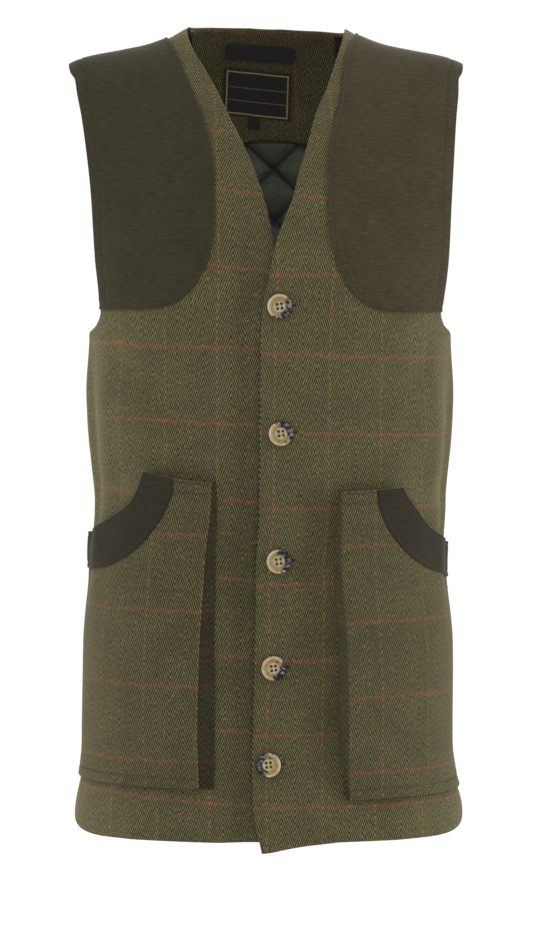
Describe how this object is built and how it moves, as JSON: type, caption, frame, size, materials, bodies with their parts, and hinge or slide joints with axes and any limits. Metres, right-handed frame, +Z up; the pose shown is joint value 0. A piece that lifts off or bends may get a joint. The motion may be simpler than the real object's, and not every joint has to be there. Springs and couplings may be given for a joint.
{
  "type": "shooting vest",
  "caption": "Sleeveless V-neck tweed shooting vest, buttoned at the front, with shoulder patches and bellows pockets, filled out as when worn.",
  "frame": {"origin": "midway between the two neck points of the shoulder seams, where a wearer's shoulders carry the vest", "axes": "+X to the wearer's left, +Y to the wearer's back, +Z up"},
  "size_m": [0.3553, 0.2506, 0.7119],
  "materials": {
    "tweed": "brushed wool tweed in a herringbone weave with a thin windowpane check",
    "tweed_in_shade": "the same tweed inside the neck and in the pocket gussets",
    "suede_cloth": "matt brushed suede-like cloth",
    "satin_lining": "satin, quilted in diamonds",
    "woven_label": "flat woven tape",
    "horn": "polished, horn-like"
  },
  "bodies": {
    "root": {"back": "tweed", "front_left": "tweed", "front_right": "tweed", "back_neck_facing": "tweed_in_shade", "back_lining": "satin_lining", "shoulder_patch_left": "suede_cloth", "shoulder_patch_right": "suede_cloth", "pocket_face_left": "tweed", "pocket_face_right": "tweed", "pocket_gusset_left": "tweed_in_shade", "pocket_gusset_right": "tweed_in_shade", "pocket_trim_left": "suede_cloth", "pocket_trim_right": "suede_cloth", "button_1": "horn", "button_2": "horn", "button_3": "horn", "button_4": "horn", "button_5": "horn", "neck_label": "woven_label", "neck_tape": "woven_label", "size_tab": "woven_label", "side_tab": "woven_label"}
  },
  "joints": []
}
